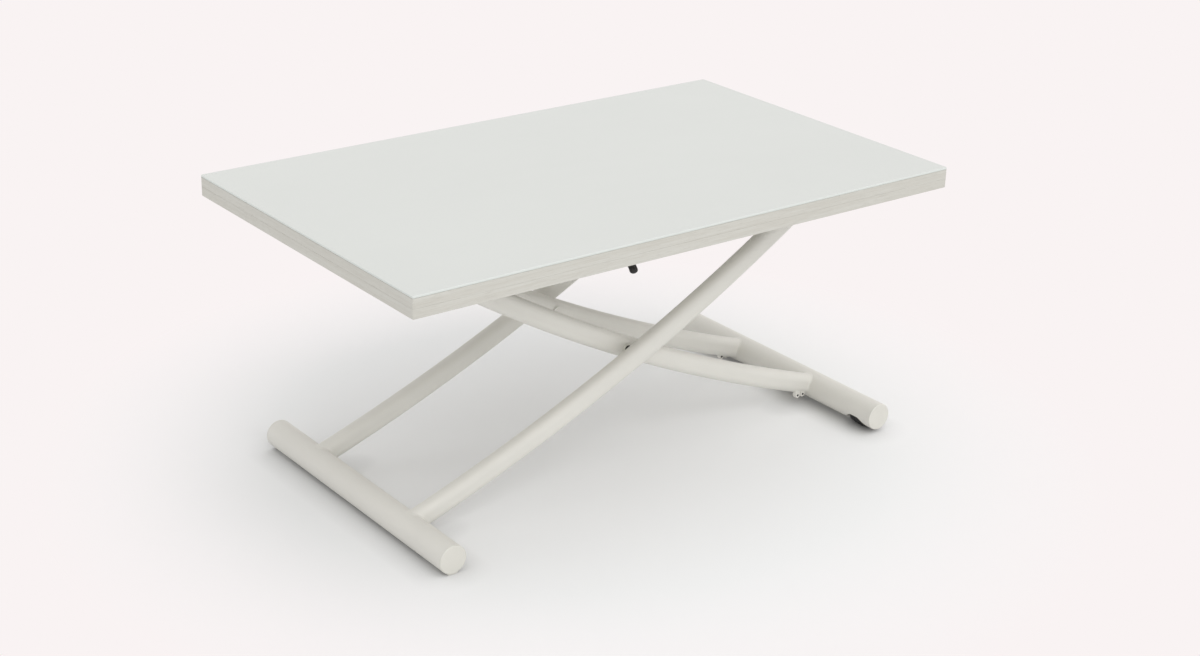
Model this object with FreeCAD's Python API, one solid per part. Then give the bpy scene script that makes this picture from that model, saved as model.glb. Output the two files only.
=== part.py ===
import FreeCAD, Part
import math
import os

os.makedirs("parts", exist_ok=True)

vector = FreeCAD.Vector

# Extending dining table on a scissor lift, in millimetres.
# X runs along the long side, Y across the table, Z up; the origin is on the floor under the middle of the top.
# The solids stand at the height that the table is shown at, with the two leaves closed.

# Top: two equal leaves, the upper one covered with glass
TOP_LENGTH = 1100.0
TOP_WIDTH = 670.0
TOP_HEIGHT = 515.5
GLASS_THICKNESS = 4.0
BOARD_THICKNESS = 16.0
LEAF_GAP = 0.5
BOARD_CORNER = 3.0
GLASS_ARRIS = 0.8

# Foot bars: round tubes across the table, the left one fixed and the right one on wheels
BAR_RADIUS = 25.0
BAR_WALL = 2.0
FIXED_BAR_HEIGHT = 26.5
WHEEL_BAR_HEIGHT = 31.0
BAR_LENGTH = 560.0
FIXED_BAR_X = -448.0
WHEEL_BAR_X = 485.0
CAP_THICKNESS = 3.0
RUNNING_GAP = 0.05

# Scissor legs: flat-sided tubes bent to one long arc, crossing at their pivots
LEG_FOOT_HEIGHT = 31.0
CROSS_HEIGHT = 222.0
UPPER_PIVOT_REACH = 381.0
UPPER_PIVOT_HEIGHT = 439.5
LEG_DEPTH = 38.0
LEG_WIDTH = 30.0
LEG_CORNER = 14.0
LEG_WALL = 2.0
COPED_LENGTH = 70.0
BORED_LENGTH = 50.0
OUTER_LEG_Y = 149.0
INNER_LEG_Y = 103.0
NOSE_NECK = 12.0
NOSE_SHANK = 20.0

# Lift travel from the shown height, in degrees of leg turn
LIFT_DOWN = 15.5
LIFT_UP = 22.0

# Pivots and rollers
PIVOT_RADIUS = 6.0
PIVOT_SIDE_GAP = 0.3
SPACER_RADIUS = 7.5
BUSH_RADIUS = 7.0
NUT_RADIUS = 8.0
NUT_THICKNESS = 3.5
HEAD_RADIUS = 10.0
HEAD_THICKNESS = 5.0
ROLLER_RADIUS = 17.7
ROLLER_WIDTH = 10.0
ROLLER_SIDE_GAP = 1.0
ROLLER_CHAMFER = 1.0

# Glide feet and floor wheels
PAD_HALF_WIDTH = 9.0
PAD_LENGTH = 66.0
PAD_HEIGHT = 6.0
PAD_ROUND = 1.0
PAD_INSET = 1.8
PAD_CLEARANCE = 0.3
CAP_PLUG = 40.0
CAP_ROUND = 1.8
WHEEL_RADIUS = 13.0
WHEEL_EDGE_RADIUS = 10.5
WHEEL_WIDTH = 44.0
WHEEL_Y = 241.0
WHEEL_SIDE_GAP = 2.0
WHEEL_ROOM = 2.0
AXLE_RADIUS = 3.0
AXLE_SEAT = 6.0
CARRIER_DEPTH = 92.0
SLOT_HALF_WIDTH = 23.5
SLOT_LENGTH = 62.0

# Lug under the low end of each inner leg: two pierced ears side by side
LUG_BOTTOM = 12.0
LUG_TOP = 40.0
EAR_PLACES_X = (437.0, 449.5)
EAR_OUTSET = 8.0
EAR_ROUND = 5.5
EAR_HOLE = 2.0
EAR_WIDTH = 8.0

# Frame under the top
RAIL_LEFT = -430.0
RAIL_RIGHT = 525.0
RAIL_WEB_Y = 119.0
RAIL_HEIGHT = 42.0
RAIL_FLANGE = 14.0
RAIL_SHEET = 2.5
CROSSBAR_WIDTH = 20.0
CROSSBAR_HEIGHT = 30.0
CROSSBAR_WALL = 2.0
TRACK_X = 270.0
TRACK_WIDTH = 40.0
TRACK_HEIGHT = 14.0
TRACK_LENGTH = 576.0
TRACK_WALL = 2.5
TRACK_SLOT = 14.0
SHOE_PLATE = 4.0
SHOE_PLATE_WIDTH = 36.0
SHOE_LENGTH = 40.0
SHOE_GAP = 0.5
SHOE_PLACES_Y = (75.0, 262.0)

# Gas spring and its release lever
CRANK_RADIUS = 85.0
CRANK_PLATE = 6.0
CRANK_PLATE_Y = 10.0
CRANK_HUB_RADIUS = 20.0
CRANK_TIP_RADIUS = 10.0
TORSION_RADIUS = 15.0
TORSION_WALL = 2.5
GAS_RADIUS = 11.0
GAS_BORE = 9.5
GAS_ROD_RADIUS = 5.0
GAS_LENGTH = 150.0
GAS_END = 10.0
PISTON_WIDTH = 8.0
PISTON_PLACE = 48.0
EYE_RADIUS = 12.0
EYE_PIN_RADIUS = 4.0
EYE_WIDTH = 12.0
EYE_NECK = 22.0
EYE_NECK_HEIGHT = 15.0
EYE_PLAY = 0.4
RELEASE_X = -89.0
CLEVIS_PLATE = 4.0
CLEVIS_HALF_WIDTH = 9.0
CLEVIS_INSIDE = 9.0
CLEVIS_PIN_END = 1.0
RELEASE_HEAD_LENGTH = 26.0
RELEASE_HEAD_HALF = 8.5
TONGUE_WIDTH = 12.0
TONGUE_END_Y = -26.0
TONGUE_THICKNESS = 4.5
LEVER_X = -104.0
LEVER_RADIUS = 4.0
LEVER_PIVOT_Y = -75.0
LEVER_PIVOT_Z = 404.0
LEVER_TOE = (-20.0, 366.0)
LEVER_KNEE = (-50.0, 398.0)
LEVER_BEND_Y = -140.0
LEVER_RISE_Y = -228.0
LEVER_END_Y = -262.0
LEVER_HUB_RADIUS = 8.0
LEVER_HUB_WIDTH = 24.0
LEVER_PIN_GAP = 0.5
LEVER_PIN_HEAD = 3.0
LEVER_BRACKET_INSET = 2.0
LEVER_BRACKET_WIDTH = 6.0
GRIP_HEIGHT = 456.0
GRIP_WIDTH = 13.0
GRIP_THICKNESS = 10.0
GRIP_EDGE = 2.5
GRIP_ROOT_Y = -238.0
GRIP_TIP_Y = -291.0
GRIP_OUTER_BEND = 12.0
GRIP_INNER_BEND = 4.0
GRIP_DROP = 11.0

# Leaf hinges: butt hinges let into the inner faces of both boards at the far edge
HINGE_PLACES_X = (-430.0, 0.0, 430.0)
HINGE_LENGTH = 44.0
HINGE_DEPTH = 30.0
HINGE_THICKNESS = 3.0
HINGE_PIN_RADIUS = 1.3
KNUCKLE_RADIUS = 2.5
KNUCKLE_GAP = 0.3
KNUCKLE_MIDDLE = 6.0
KNUCKLE_REACH = 18.0

# Levels and places that follow from the dimensions above
UPPER_BOARD_TOP = TOP_HEIGHT - GLASS_THICKNESS
UPPER_BOARD_BOTTOM = UPPER_BOARD_TOP - BOARD_THICKNESS
LOWER_BOARD_TOP = UPPER_BOARD_BOTTOM - LEAF_GAP
LOWER_BOARD_BOTTOM = LOWER_BOARD_TOP - BOARD_THICKNESS
SHOE_BOTTOM = LOWER_BOARD_BOTTOM - SHOE_PLATE
TRACK_TOP = SHOE_BOTTOM - SHOE_GAP
TRACK_BOTTOM = TRACK_TOP - TRACK_HEIGHT
RAIL_BOTTOM = TRACK_BOTTOM - RAIL_HEIGHT
CROSSBAR_BOTTOM = UPPER_PIVOT_HEIGHT - CROSSBAR_HEIGHT / 2
CROSS_X = (FIXED_BAR_X + WHEEL_BAR_X) / 2
FIXED_FOOT = vector(FIXED_BAR_X, 0, FIXED_BAR_HEIGHT)
WHEEL_FOOT = vector(WHEEL_BAR_X, 0, WHEEL_BAR_HEIGHT)
LEG_FOOT = vector(FIXED_BAR_X, 0, LEG_FOOT_HEIGHT)
CROSSING = vector(CROSS_X, 0, CROSS_HEIGHT)
OUTER_UPPER = vector(CROSS_X + UPPER_PIVOT_REACH, 0, UPPER_PIVOT_HEIGHT)
INNER_UPPER = vector(CROSS_X - UPPER_PIVOT_REACH, 0, UPPER_PIVOT_HEIGHT)
BAR_BORE = BAR_RADIUS - BAR_WALL
HALF_BAR = BAR_LENGTH / 2
LIFT_MIDDLE = math.radians((LIFT_UP - LIFT_DOWN) / 2)
LIFT_HALF = math.radians((LIFT_UP + LIFT_DOWN) / 2)
CRANK_PIN = INNER_UPPER + vector(math.sin(LIFT_MIDDLE), 0, -math.cos(LIFT_MIDDLE)) * CRANK_RADIUS
CRANK_RISE = CRANK_RADIUS * (1 - math.cos(LIFT_HALF)) / 2
GAS_HEIGHT = UPPER_PIVOT_HEIGHT - CRANK_RADIUS + CRANK_RISE
HINGE_Y = TOP_WIDTH / 2 - KNUCKLE_RADIUS
HINGE_Z = LOWER_BOARD_TOP + LEAF_GAP / 2
TOP_REAR = HINGE_Y - LEAF_GAP / 2

ALONG_X = vector(1, 0, 0)
ALONG_Y = vector(0, 1, 0)
ALONG_Z = vector(0, 0, 1)
ORIGIN = vector(0, 0, 0)
SIDES = (("front", -1), ("rear", 1))
OVERRUN = 5.0


# Small helpers
def box(x_low, x_high, y_low, y_high, z_low, z_high):
    """A block between two corners, given in either order across the table."""
    y_start = min(y_low, y_high)
    corner = vector(x_low, y_start, z_low)
    return Part.makeBox(x_high - x_low, abs(y_high - y_low), z_high - z_low, corner)


def rod(radius, start, end):
    """A round bar between two points."""
    along = end - start
    return Part.makeCylinder(radius, along.Length, start, along)


def pipe(outer, inner, start, end):
    """A round tube between two points."""
    return rod(outer, start, end).cut(rod(inner, start, end))


def at_y(point, y):
    """The point moved across the table."""
    return vector(point.x, y, point.z)


def across(radius, point, y_start, y_end):
    """A round bar across the table, through a point of the side view."""
    return rod(radius, at_y(point, y_start), at_y(point, y_end))


def fused(first, others):
    """One solid made of pieces that meet."""
    return first.multiFuse(others).removeSplitter()


def rear(shape):
    """The matching shape on the far side of the table."""
    return shape.mirror(ORIGIN, ALONG_Y)


def on_side(shape, sign):
    """A front shape as it is, or mirrored for the rear."""
    return shape if sign < 0 else rear(shape)


def save(name, *solids):
    """Writes one piece, or a set of equal pieces, under its own name."""
    shape = solids[0] if len(solids) == 1 else Part.makeCompound(list(solids))
    if not shape.isValid():
        raise ValueError(name + " is not a valid solid")
    shape.exportStep("parts/" + name + ".step")


def save_pair(name, front_shape):
    """Writes a front piece and its mirrored rear twin."""
    for side, sign in SIDES:
        save(name + "_" + side, on_side(front_shape, sign))


# Legs
def circle_through(first, middle, last):
    """Centre of the circle through three points of the side view."""
    return Part.Circle(first, middle, last).Center


ARC_CENTRE = circle_through(LEG_FOOT, CROSSING, OUTER_UPPER)
ARC_RADIUS = (LEG_FOOT - ARC_CENTRE).Length
SECTION_MIDDLE = vector(ARC_CENTRE.x + ARC_RADIUS, 0, ARC_CENTRE.z)


def arc_angle(point):
    """Angle of a point about the arc's centre, in degrees, turning from X to Z."""
    offset = point - ARC_CENTRE
    return math.degrees(math.atan2(offset.z, offset.x))


def leg_section():
    """Rounded section of a leg, lying square to the arc at angle zero."""
    flat_depth = LEG_DEPTH / 2 - LEG_CORNER
    flat_width = LEG_WIDTH / 2 - LEG_CORNER
    diagonal = LEG_CORNER * math.sqrt(0.5)
    turns = []
    for depth_sign, width_sign in ((1, 1), (-1, 1), (-1, -1), (1, -1)):
        bend = SECTION_MIDDLE + vector(depth_sign * flat_depth, width_sign * flat_width, 0)
        side_end = bend + vector(depth_sign * LEG_CORNER, 0, 0)
        face_end = bend + vector(0, width_sign * LEG_CORNER, 0)
        outside = bend + vector(depth_sign * diagonal, width_sign * diagonal, 0)
        turn = (side_end, outside, face_end)
        if depth_sign * width_sign < 0:
            turn = (face_end, outside, side_end)
        turns.append(turn)
    outline = []
    for place, turn in enumerate(turns):
        following = turns[(place + 1) % len(turns)]
        outline.append(Part.Arc(*turn).toShape())
        outline.append(Part.LineSegment(turn[2], following[0]).toShape())
    return Part.Face(Part.Wire(outline))


def bore_section():
    """Section of the bore, with a bevel at each corner that leaves the wall its thickness."""
    depth = LEG_DEPTH / 2 - LEG_WALL
    width = LEG_WIDTH / 2 - LEG_WALL
    bevel = (LEG_CORNER - LEG_WALL) * (2 - math.sqrt(2))
    quarter = [(depth, width - bevel), (depth - bevel, width)]
    half = quarter + [(-x, y) for x, y in reversed(quarter)]
    outline = half + [(-x, -y) for x, y in half]
    points = [SECTION_MIDDLE + vector(x, y, 0) for x, y in outline]
    return Part.Face(Part.makePolygon(points + points[:1]))


def swept(section, start_angle, end_angle):
    """A solid stretch along the outer leg at mid width."""
    section.rotate(ARC_CENTRE, -ALONG_Y, start_angle)
    return section.revolve(ARC_CENTRE, -ALONG_Y, end_angle - start_angle)


def degrees_along(length):
    """Turn about the arc's centre for a length along the leg."""
    return math.degrees(length / ARC_RADIUS)


def leg_tube(bar_height):
    """Hollow leg at mid width, coped to its foot bar and cut square below its nose.

    The coped end and the length that takes the crossing pivot keep seams of their own, so that the
    long faces between them have plain ends.
    """
    bar = vector(FIXED_BAR_X, 0, bar_height)
    foot = arc_angle(LEG_FOOT)
    crossing = arc_angle(CROSSING)
    shoulder = arc_angle(OUTER_UPPER) - degrees_along(NOSE_NECK)
    half_bored = degrees_along(BORED_LENGTH / 2)
    seams = [foot, foot + degrees_along(COPED_LENGTH), crossing - half_bored, crossing + half_bored, shoulder]
    lengths = []
    for low, high in zip(seams, seams[1:]):
        lengths.append(swept(leg_section(), low, high).cut(swept(bore_section(), low, high)))
    coped = lengths[0].cut(across(BAR_RADIUS, bar, -LEG_WIDTH, LEG_WIDTH))
    return coped.multiFuse(lengths[1:])


def leg_nose():
    """Round-nosed plug in the upper end of a leg, bored for the upper pivot."""
    end = arc_angle(OUTER_UPPER)
    shoulder = end - degrees_along(NOSE_NECK)
    neck = swept(leg_section(), shoulder, end)
    shank = swept(bore_section(), shoulder - degrees_along(NOSE_SHANK), shoulder)
    disc = across(LEG_DEPTH / 2, OUTER_UPPER, -LEG_WIDTH / 2, LEG_WIDTH / 2)
    disc = disc.makeFillet(LEG_CORNER, [edge for edge in disc.Edges if is_rim(edge)])
    behind = box(-LEG_DEPTH, 0, -LEG_WIDTH, LEG_WIDTH, -LEG_DEPTH, LEG_DEPTH)
    behind.rotate(ORIGIN, -ALONG_Y, end + 90)
    behind.translate(OUTER_UPPER)
    nose = fused(neck, [shank, disc.cut(behind)])
    return nose.cut(across(PIVOT_RADIUS, OUTER_UPPER, -LEG_WIDTH, LEG_WIDTH))


def is_rim(edge):
    """True for a full circular rim."""
    return isinstance(edge.Curve, Part.Circle)


def mirrored_leg(shape):
    """An inner leg's shape, which mirrors the outer leg about the crossing."""
    return shape.mirror(CROSSING, ALONG_X)


def make_legs():
    nose = leg_nose()
    pin_hole = across(PIVOT_RADIUS, CROSSING, 0, LEG_WIDTH)
    bush_hole = across(BUSH_RADIUS, CROSSING, -LEG_WIDTH, LEG_WIDTH)
    outer = leg_tube(FIXED_BAR_HEIGHT).cut(pin_hole)
    inner = mirrored_leg(leg_tube(WHEEL_BAR_HEIGHT)).cut(bush_hole)
    outer_shift = vector(0, -OUTER_LEG_Y, 0)
    inner_shift = vector(0, -INNER_LEG_Y, 0)
    save_pair("outer_leg", outer.translated(outer_shift))
    save_pair("outer_leg_nose", nose.translated(outer_shift))
    save_pair("inner_leg", inner.translated(inner_shift))
    save_pair("inner_leg_nose", mirrored_leg(nose).translated(inner_shift))
    low_half = swept(leg_section(), arc_angle(LEG_FOOT), arc_angle(CROSSING))
    make_leg_lugs(mirrored_leg(low_half).translated(inner_shift))


def make_leg_lugs(leg_solid):
    """Two ears side by side under the low end of each inner leg."""
    ear_start = -INNER_LEG_Y - EAR_OUTSET - EAR_WIDTH / 2
    ear_end = ear_start + EAR_WIDTH
    ears = []
    for ear_x in EAR_PLACES_X:
        centre = vector(ear_x, 0, LUG_BOTTOM + EAR_ROUND)
        stem = box(ear_x - EAR_ROUND, ear_x + EAR_ROUND, ear_start, ear_end, centre.z, LUG_TOP)
        ear = fused(across(EAR_ROUND, centre, ear_start, ear_end), [stem])
        ear = ear.cut(across(EAR_HOLE, centre, ear_start, ear_end)).cut(leg_solid)
        below_leg = min(ear.Solids, key=lambda solid: solid.BoundBox.ZMin)
        ears.append(below_leg)
    save_pair("leg_lug", Part.makeCompound(ears))


# Crossing pivots, rollers and upper hinges
def make_pivots():
    outer_inside = -OUTER_LEG_Y + LEG_WIDTH / 2
    inner_outside = -INNER_LEG_Y - LEG_WIDTH / 2
    inner_inside = -INNER_LEG_Y + LEG_WIDTH / 2
    pin_end = -OUTER_LEG_Y - LEG_WIDTH / 4
    nut_start = inner_inside + PIVOT_SIDE_GAP
    nut_end = nut_start + NUT_THICKNESS
    nut = across(NUT_RADIUS, CROSSING, nut_start, nut_end)
    save_pair("cross_pin", fused(across(PIVOT_RADIUS, CROSSING, pin_end, nut_end), [nut]))
    spacer = across(SPACER_RADIUS, CROSSING, outer_inside, inner_outside - PIVOT_SIDE_GAP)
    save_pair("cross_spacer", spacer.cut(across(PIVOT_RADIUS, CROSSING, outer_inside, inner_outside)))
    bush = across(BUSH_RADIUS, CROSSING, inner_outside, inner_inside)
    bore = across(PIVOT_RADIUS + RUNNING_GAP, CROSSING, inner_outside, inner_inside)
    save_pair("cross_bush", bush.cut(bore))


def make_rollers():
    web_outside = -RAIL_WEB_Y - RAIL_SHEET
    roller_inner = web_outside - ROLLER_SIDE_GAP
    roller_outer = roller_inner - ROLLER_WIDTH
    pin_end = -OUTER_LEG_Y - LEG_WIDTH / 2
    save_pair("roller_pin", across(PIVOT_RADIUS, OUTER_UPPER, pin_end, roller_inner))
    roller = across(ROLLER_RADIUS, OUTER_UPPER, roller_outer, roller_inner)
    roller = roller.makeChamfer(ROLLER_CHAMFER, [edge for edge in roller.Edges if is_rim(edge)])
    bore = across(PIVOT_RADIUS + RUNNING_GAP, OUTER_UPPER, roller_outer, roller_inner)
    save_pair("track_roller", roller.cut(bore))


def make_hinge_bolts():
    """Bolts on which the inner legs carry the side rails."""
    bolt_start = -INNER_LEG_Y + LEG_WIDTH / 2
    head_start = -RAIL_WEB_Y - RAIL_SHEET - PIVOT_SIDE_GAP
    bolt = across(PIVOT_RADIUS, INNER_UPPER, bolt_start, head_start)
    head = across(HEAD_RADIUS, INNER_UPPER, head_start, head_start - HEAD_THICKNESS)
    save_pair("hinge_bolt", fused(bolt, [head]))


# Foot bars with their glide caps and wheels
def make_foot_bars():
    fixed_bar = pipe(BAR_RADIUS, BAR_BORE, at_y(FIXED_FOOT, -HALF_BAR), at_y(FIXED_FOOT, HALF_BAR))
    save("fixed_foot_bar", fixed_bar)
    wheel_bar = pipe(BAR_RADIUS, BAR_BORE, at_y(WHEEL_FOOT, -HALF_BAR), at_y(WHEEL_FOOT, HALF_BAR))
    slot = wheel_slot()
    save("wheel_foot_bar", wheel_bar.cut(slot).cut(rear(slot)))


def wheel_slot():
    """Oblong opening under the wheel, centred on the bar's swing."""
    half_straight = SLOT_LENGTH / 2 - SLOT_HALF_WIDTH
    middle = box(-SLOT_HALF_WIDTH, SLOT_HALF_WIDTH, -half_straight, half_straight, -BAR_RADIUS * 2, 0)
    rounds = []
    for sign in (-1, 1):
        rounds.append(rod(SLOT_HALF_WIDTH, vector(0, sign * half_straight, -BAR_RADIUS * 2),
                          vector(0, sign * half_straight, 0)))
    slot = fused(middle, rounds)
    slot.rotate(ORIGIN, ALONG_Y, math.degrees(LIFT_MIDDLE))
    return slot.translated(at_y(WHEEL_FOOT, -WHEEL_Y))


def end_cap(foot, plug_depth):
    """Rounded end disc with a plug that the bar turns on."""
    disc = across(BAR_RADIUS, foot, -HALF_BAR - CAP_THICKNESS, -HALF_BAR)
    rim = [edge for edge in disc.Edges if is_rim(edge) and edge.CenterOfMass.y < -HALF_BAR]
    disc = disc.makeFillet(CAP_ROUND, rim)
    plug = across(BAR_BORE - RUNNING_GAP, foot, -HALF_BAR, -HALF_BAR + plug_depth)
    return disc, plug


def make_glide_caps():
    disc, plug = end_cap(FIXED_FOOT, CAP_PLUG)
    pad_left = FIXED_BAR_X - PAD_HALF_WIDTH
    pad_right = FIXED_BAR_X + PAD_HALF_WIDTH
    pad_start = -HALF_BAR - CAP_THICKNESS + PAD_INSET
    pad = box(pad_left, pad_right, pad_start, pad_start + PAD_LENGTH, 0, PAD_HEIGHT)
    low_edges = [edge for edge in pad.Edges if edge.BoundBox.ZMax < PAD_HEIGHT / 2]
    floor_edges = [edge for edge in low_edges if edge.BoundBox.YLength > PAD_HEIGHT]
    pad = pad.makeFillet(PAD_ROUND, floor_edges)
    pad = pad.cut(across(BAR_RADIUS + PAD_CLEARANCE, FIXED_FOOT, -HALF_BAR, HALF_BAR))
    save_pair("glide_cap", fused(disc, [plug, pad]))


def make_wheels():
    axle = vector(WHEEL_BAR_X, 0, WHEEL_RADIUS)
    wheel_start = -WHEEL_Y - WHEEL_WIDTH / 2
    wheel_end = -WHEEL_Y + WHEEL_WIDTH / 2
    disc, plug = end_cap(WHEEL_FOOT, CARRIER_DEPTH)
    room_top = 2 * WHEEL_RADIUS + WHEEL_ROOM
    room = box(WHEEL_BAR_X - BAR_RADIUS, WHEEL_BAR_X + BAR_RADIUS, wheel_start - WHEEL_SIDE_GAP,
               wheel_end + WHEEL_SIDE_GAP, -OVERRUN, room_top)
    axle_bar = across(AXLE_RADIUS, axle, wheel_start - AXLE_SEAT, wheel_end + AXLE_SEAT)
    save_pair("wheel_carrier", fused(disc, [plug]).cut(room).cut(axle_bar))
    save_pair("wheel_axle", axle_bar)
    save_pair("floor_wheel", wheel_shape(axle, wheel_start, wheel_end))


def wheel_shape(axle, start, end):
    """Crowned rubber roller turned from a barrel-shaped profile."""
    bore = AXLE_RADIUS + RUNNING_GAP
    middle = (start + end) / 2
    inner_start = vector(axle.x, start, axle.z + bore)
    rim_start = vector(axle.x, start, axle.z + WHEEL_EDGE_RADIUS)
    crown = vector(axle.x, middle, axle.z + WHEEL_RADIUS)
    rim_end = vector(axle.x, end, axle.z + WHEEL_EDGE_RADIUS)
    inner_end = vector(axle.x, end, axle.z + bore)
    outline = [
        Part.LineSegment(inner_start, rim_start).toShape(),
        Part.Arc(rim_start, crown, rim_end).toShape(),
        Part.LineSegment(rim_end, inner_end).toShape(),
        Part.LineSegment(inner_end, inner_start).toShape(),
    ]
    return Part.Face(Part.Wire(outline)).revolve(axle, ALONG_Y, 360)


# Frame that carries the leaves
def make_rails():
    web_outside = -RAIL_WEB_Y - RAIL_SHEET
    flange_end = -RAIL_WEB_Y - RAIL_FLANGE
    web = box(RAIL_LEFT, RAIL_RIGHT, web_outside, -RAIL_WEB_Y, RAIL_BOTTOM, TRACK_BOTTOM)
    lower = box(RAIL_LEFT, RAIL_RIGHT, flange_end, web_outside, RAIL_BOTTOM, RAIL_BOTTOM + RAIL_SHEET)
    upper = box(RAIL_LEFT, RAIL_RIGHT, flange_end, web_outside, TRACK_BOTTOM - RAIL_SHEET, TRACK_BOTTOM)
    rail = fused(web, [lower, upper])
    hole = across(PIVOT_RADIUS + RUNNING_GAP, INNER_UPPER, web_outside - OVERRUN, -RAIL_WEB_Y + OVERRUN)
    save_pair("side_rail", rail.cut(hole))


def crossbar(x_left):
    """Rectangular tube between the side rails."""
    top = CROSSBAR_BOTTOM + CROSSBAR_HEIGHT
    outer = box(x_left, x_left + CROSSBAR_WIDTH, -RAIL_WEB_Y, RAIL_WEB_Y, CROSSBAR_BOTTOM, top)
    inner = box(x_left + CROSSBAR_WALL, x_left + CROSSBAR_WIDTH - CROSSBAR_WALL, -RAIL_WEB_Y, RAIL_WEB_Y,
                CROSSBAR_BOTTOM + CROSSBAR_WALL, top - CROSSBAR_WALL)
    return outer.cut(inner)


def make_crossbars():
    save("end_crossbar_left", crossbar(RAIL_LEFT))
    save("end_crossbar_right", crossbar(RAIL_RIGHT - CROSSBAR_WIDTH))
    save("release_crossbar", crossbar(RELEASE_X - CROSSBAR_WIDTH / 2))


def make_tracks():
    half_length = TRACK_LENGTH / 2
    half_width = TRACK_WIDTH / 2
    caps = []
    for name, x in (("left", -TRACK_X), ("right", TRACK_X)):
        body = box(x - half_width, x + half_width, -half_length, half_length, TRACK_BOTTOM, TRACK_TOP)
        hollow = box(x - half_width + TRACK_WALL, x + half_width - TRACK_WALL, -half_length, half_length,
                     TRACK_BOTTOM + TRACK_WALL, TRACK_TOP - TRACK_WALL)
        slot = box(x - TRACK_SLOT / 2, x + TRACK_SLOT / 2, -half_length, half_length,
                   TRACK_BOTTOM + TRACK_WALL, TRACK_TOP)
        save("slide_track_" + name, body.cut(hollow).cut(slot))
        cap = box(x - half_width, x + half_width, -half_length - CAP_THICKNESS, -half_length,
                  TRACK_BOTTOM, TRACK_TOP)
        caps.extend([cap, rear(cap)])
    save("track_end_caps", *caps)


def make_shoes():
    """Nylon T-shaped shoes under the lower leaf, which run in the tracks."""
    head_half = TRACK_WIDTH / 2 - TRACK_WALL - SHOE_GAP
    neck_half = TRACK_SLOT / 2 - SHOE_GAP
    plate_half = SHOE_PLATE_WIDTH / 2
    head_bottom = TRACK_BOTTOM + TRACK_WALL + SHOE_GAP
    head_top = TRACK_TOP - TRACK_WALL - SHOE_GAP
    shoes = []
    for x in (-TRACK_X, TRACK_X):
        for y in SHOE_PLACES_Y:
            start = y - SHOE_LENGTH / 2
            end = y + SHOE_LENGTH / 2
            head = box(x - head_half, x + head_half, start, end, head_bottom, head_top)
            neck = box(x - neck_half, x + neck_half, start, end, head_top, SHOE_BOTTOM)
            plate = box(x - plate_half, x + plate_half, start, end, SHOE_BOTTOM, LOWER_BOARD_BOTTOM)
            shoes.append(fused(head, [neck, plate]))
    save("slide_shoes", *shoes)


# Gas spring with its crank, clevis and release lever
def make_crank():
    tube_end = INNER_LEG_Y - LEG_WIDTH / 2
    save("torsion_tube", pipe(TORSION_RADIUS, TORSION_RADIUS - TORSION_WALL, at_y(INNER_UPPER, -tube_end),
                              at_y(INNER_UPPER, tube_end)))
    pin_half = CRANK_PLATE_Y + CRANK_PLATE
    save("crank_pin", across(EYE_PIN_RADIUS, CRANK_PIN, -pin_half, pin_half))
    plate_start = -CRANK_PLATE_Y - CRANK_PLATE / 2
    plate_end = -CRANK_PLATE_Y + CRANK_PLATE / 2
    hub = across(CRANK_HUB_RADIUS, INNER_UPPER, plate_start, plate_end)
    tip = across(CRANK_TIP_RADIUS, CRANK_PIN, plate_start, plate_end)
    arm = tangent_plate(INNER_UPPER, CRANK_HUB_RADIUS, CRANK_PIN, CRANK_TIP_RADIUS, plate_start, plate_end)
    plate = fused(arm, [hub, tip])
    plate = plate.cut(across(TORSION_RADIUS, INNER_UPPER, plate_start, plate_end))
    save_pair("crank_plate", plate.cut(across(EYE_PIN_RADIUS, CRANK_PIN, plate_start, plate_end)))


def tangent_plate(first, first_radius, second, second_radius, y_start, y_end):
    """The tapered web of a plate, tangent to a round at each end."""
    along = second - first
    lean = math.acos((first_radius - second_radius) / along.Length)
    heading = math.atan2(along.z, along.x)
    corners = []
    for centre, radius, sign in ((first, first_radius, 1), (second, second_radius, 1),
                                 (second, second_radius, -1), (first, first_radius, -1)):
        turn = heading + sign * lean
        corners.append(vector(centre.x + radius * math.cos(turn), y_start, centre.z + radius * math.sin(turn)))
    outline = Part.makePolygon(corners + corners[:1])
    return Part.Face(outline).extrude(vector(0, y_end - y_start, 0))


def make_gas_spring():
    eye = vector(CRANK_PIN.x, 0, GAS_HEIGHT)
    body_start = eye + ALONG_X * EYE_NECK
    body_end = body_start + ALONG_X * GAS_LENGTH
    bore_start = body_start + ALONG_X * GAS_END
    bore_end = body_end - ALONG_X * GAS_END
    half_eye = EYE_WIDTH / 2
    lug = across(EYE_RADIUS, eye, -half_eye, half_eye)
    neck = box(eye.x, bore_start.x, -half_eye, half_eye, GAS_HEIGHT - EYE_NECK_HEIGHT / 2,
               GAS_HEIGHT + EYE_NECK_HEIGHT / 2)
    cylinder = fused(rod(GAS_RADIUS, body_start, body_end), [lug, neck])
    cylinder = cylinder.cut(eye_slot(eye)).cut(rod(GAS_BORE, bore_start, bore_end))
    save("gas_cylinder", cylinder.cut(rod(GAS_ROD_RADIUS + RUNNING_GAP, bore_end, body_end)))
    head_end = vector(RELEASE_X, 0, GAS_HEIGHT)
    head_start = head_end - ALONG_X * RELEASE_HEAD_LENGTH
    piston_start = bore_start + ALONG_X * PISTON_PLACE
    piston_end = piston_start + ALONG_X * PISTON_WIDTH
    piston = rod(GAS_BORE - RUNNING_GAP, piston_start, piston_end)
    head = release_head(head_start, head_end)
    save("gas_rod", fused(rod(GAS_ROD_RADIUS, piston_start, head_start), [piston, head]))


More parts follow.
